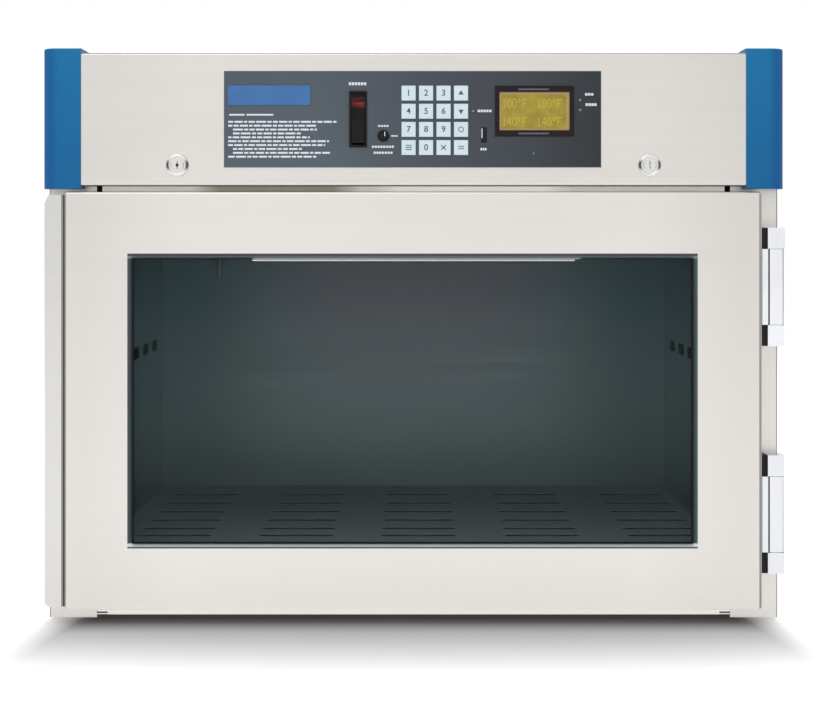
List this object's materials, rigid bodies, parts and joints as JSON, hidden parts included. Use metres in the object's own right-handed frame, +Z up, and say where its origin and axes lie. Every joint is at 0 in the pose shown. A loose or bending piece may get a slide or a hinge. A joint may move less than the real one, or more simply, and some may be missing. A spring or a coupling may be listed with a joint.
{
  "type": "warming cabinet",
  "caption": "Countertop warming cabinet with a glazed hinged door, a control header with keypad and display, and an insulated warm chamber.",
  "frame": {"origin": "on the floor under the middle of the whole object", "axes": "+Z up, front with the door towards -Y, +X to the right seen from the front"},
  "size_m": [0.774, 0.66, 0.6008],
  "materials": {
    "stainless": "fine brushed stainless sheet, satin",
    "liner_steel": "stainless liner, satin",
    "galvanised": "galvanised sheet, dull",
    "chrome": "bright chrome plate",
    "pin_steel": "ground steel",
    "blue_plastic": "moulded blue plastic, semi-gloss",
    "overlay_film": "printed slate film, fine satin texture",
    "key_plastic": "pale blue-grey key caps with plain numerals",
    "black_plastic": "black moulded plastic",
    "rocker_plastic": "black rocker with a dark red window",
    "bezel_grey": "dark grey window frame, satin",
    "rubber": "black rubber",
    "seal_rubber": "grey silicone seal",
    "clear_glass": "toughened float glass",
    "lcd": "amber backlit liquid crystal panel",
    "mineral_wool": "mineral wool slab",
    "circuit_board": "green solder resist",
    "motor_black": "black enamel",
    "lamp": "tinted lamp",
    "heater_sheath": "heat-stained sheath"
  },
  "bodies": {
    "cabinet": {"outer_wrap": "stainless", "back_panel": "stainless", "bottom_pan": "stainless", "deck_panel": "stainless", "rubber_feet": "rubber", "chamber_liner": "liner_steel", "insulation": "mineral_wool", "ceiling_air_duct": "liner_steel", "blower_scroll": "galvanised", "blower_motor": "motor_black", "heater_coil": "heater_sheath", "temperature_probe": "pin_steel", "power_supply": "galvanised", "power_inlet": "black_plastic", "header_fascia": "stainless", "header_cap_left": "blue_plastic", "header_cap_right": "blue_plastic", "lock_housings": "chrome", "control_overlay": "overlay_film", "control_board": "circuit_board", "display_bezel": "black_plastic", "display_module": "lcd", "usb_port": "pin_steel", "status_lamps": "lamp", "rocker_housing": "black_plastic", "key_switch_body": "pin_steel", "hinge_frame_leaves": "chrome", "hinge_pads": "black_plastic", "hinge_pins": "pin_steel", "cabinet_screws": "pin_steel"},
    "door": {"door_outer_skin": "stainless", "door_inner_skin": "stainless", "glazing_bezel": "bezel_grey", "outer_glass": "clear_glass", "inner_glass": "clear_glass", "glass_spacer": "galvanised", "door_gasket": "seal_rubber", "door_pull": "stainless", "hinge_door_leaves": "chrome"},
    "power_rocker": {"power_rocker": "rocker_plastic"},
    "key_switch_plug": {"key_switch_plug": "pin_steel"},
    "lock_plug_left": {"lock_plug_left": "chrome"},
    "lock_plug_right": {"lock_plug_right": "chrome"},
    "blower_wheel": {"blower_wheel": "galvanised"},
    "key_1": {"key_1": "key_plastic"},
    "key_2": {"key_2": "key_plastic"},
    "key_3": {"key_3": "key_plastic"},
    "key_up": {"key_up": "key_plastic"},
    "key_4": {"key_4": "key_plastic"},
    "key_5": {"key_5": "key_plastic"},
    "key_6": {"key_6": "key_plastic"},
    "key_down": {"key_down": "key_plastic"},
    "key_7": {"key_7": "key_plastic"},
    "key_8": {"key_8": "key_plastic"},
    "key_9": {"key_9": "key_plastic"},
    "key_set": {"key_set": "key_plastic"},
    "key_mode": {"key_mode": "key_plastic"},
    "key_0": {"key_0": "key_plastic"},
    "key_clear": {"key_clear": "key_plastic"},
    "key_enter": {"key_enter": "key_plastic"}
  },
  "joints": [
    {"name": "door_hinge", "type": "hinge", "parent": "cabinet", "child": "door", "pos_m": [0.3783, -0.31525, 0.23335], "axis": [0, 0, 1], "range_deg": [0, 150]},
    {"name": "rocker_tilt", "type": "hinge", "parent": "cabinet", "child": "power_rocker", "pos_m": [-0.0577, -0.31825, 0.5268], "axis": [1, 0, 0], "range_deg": [0, 8]},
    {"name": "key_switch_turn", "type": "hinge", "parent": "cabinet", "child": "key_switch_plug", "pos_m": [-0.0314, -0.32625, 0.5093], "axis": [0, 1, 0], "range_deg": [0, 90]},
    {"name": "lock_left_turn", "type": "hinge", "parent": "cabinet", "child": "lock_plug_left", "pos_m": [-0.246, -0.32525, 0.479], "axis": [0, 1, 0], "range_deg": [0, 90]},
    {"name": "lock_right_turn", "type": "hinge", "parent": "cabinet", "child": "lock_plug_right", "pos_m": [0.246, -0.32525, 0.479], "axis": [0, 1, 0], "range_deg": [-90, 0]},
    {"name": "blower_spin", "type": "hinge", "parent": "cabinet", "child": "blower_wheel", "pos_m": [0, 0.15, 0.4185], "axis": [0, 0, 1], "continuous": true},
    {"name": "press_1", "type": "slide", "parent": "cabinet", "child": "key_1", "axis": [0, 1, 0], "range_m": [0, 0.001], "stiffness_N_per_m": 600, "springref_m": -0.0005},
    {"name": "press_2", "type": "slide", "parent": "cabinet", "child": "key_2", "axis": [0, 1, 0], "range_m": [0, 0.001], "stiffness_N_per_m": 600, "springref_m": -0.0005},
    {"name": "press_3", "type": "slide", "parent": "cabinet", "child": "key_3", "axis": [0, 1, 0], "range_m": [0, 0.001], "stiffness_N_per_m": 600, "springref_m": -0.0005},
    {"name": "press_up", "type": "slide", "parent": "cabinet", "child": "key_up", "axis": [0, 1, 0], "range_m": [0, 0.001], "stiffness_N_per_m": 600, "springref_m": -0.0005},
    {"name": "press_4", "type": "slide", "parent": "cabinet", "child": "key_4", "axis": [0, 1, 0], "range_m": [0, 0.001], "stiffness_N_per_m": 600, "springref_m": -0.0005},
    {"name": "press_5", "type": "slide", "parent": "cabinet", "child": "key_5", "axis": [0, 1, 0], "range_m": [0, 0.001], "stiffness_N_per_m": 600, "springref_m": -0.0005},
    {"name": "press_6", "type": "slide", "parent": "cabinet", "child": "key_6", "axis": [0, 1, 0], "range_m": [0, 0.001], "stiffness_N_per_m": 600, "springref_m": -0.0005},
    {"name": "press_down", "type": "slide", "parent": "cabinet", "child": "key_down", "axis": [0, 1, 0], "range_m": [0, 0.001], "stiffness_N_per_m": 600, "springref_m": -0.0005},
    {"name": "press_7", "type": "slide", "parent": "cabinet", "child": "key_7", "axis": [0, 1, 0], "range_m": [0, 0.001], "stiffness_N_per_m": 600, "springref_m": -0.0005},
    {"name": "press_8", "type": "slide", "parent": "cabinet", "child": "key_8", "axis": [0, 1, 0], "range_m": [0, 0.001], "stiffness_N_per_m": 600, "springref_m": -0.0005},
    {"name": "press_9", "type": "slide", "parent": "cabinet", "child": "key_9", "axis": [0, 1, 0], "range_m": [0, 0.001], "stiffness_N_per_m": 600, "springref_m": -0.0005},
    {"name": "press_set", "type": "slide", "parent": "cabinet", "child": "key_set", "axis": [0, 1, 0], "range_m": [0, 0.001], "stiffness_N_per_m": 600, "springref_m": -0.0005},
    {"name": "press_mode", "type": "slide", "parent": "cabinet", "child": "key_mode", "axis": [0, 1, 0], "range_m": [0, 0.001], "stiffness_N_per_m": 600, "springref_m": -0.0005},
    {"name": "press_0", "type": "slide", "parent": "cabinet", "child": "key_0", "axis": [0, 1, 0], "range_m": [0, 0.001], "stiffness_N_per_m": 600, "springref_m": -0.0005},
    {"name": "press_clear", "type": "slide", "parent": "cabinet", "child": "key_clear", "axis": [0, 1, 0], "range_m": [0, 0.001], "stiffness_N_per_m": 600, "springref_m": -0.0005},
    {"name": "press_enter", "type": "slide", "parent": "cabinet", "child": "key_enter", "axis": [0, 1, 0], "range_m": [0, 0.001], "stiffness_N_per_m": 600, "springref_m": -0.0005}
  ]
}
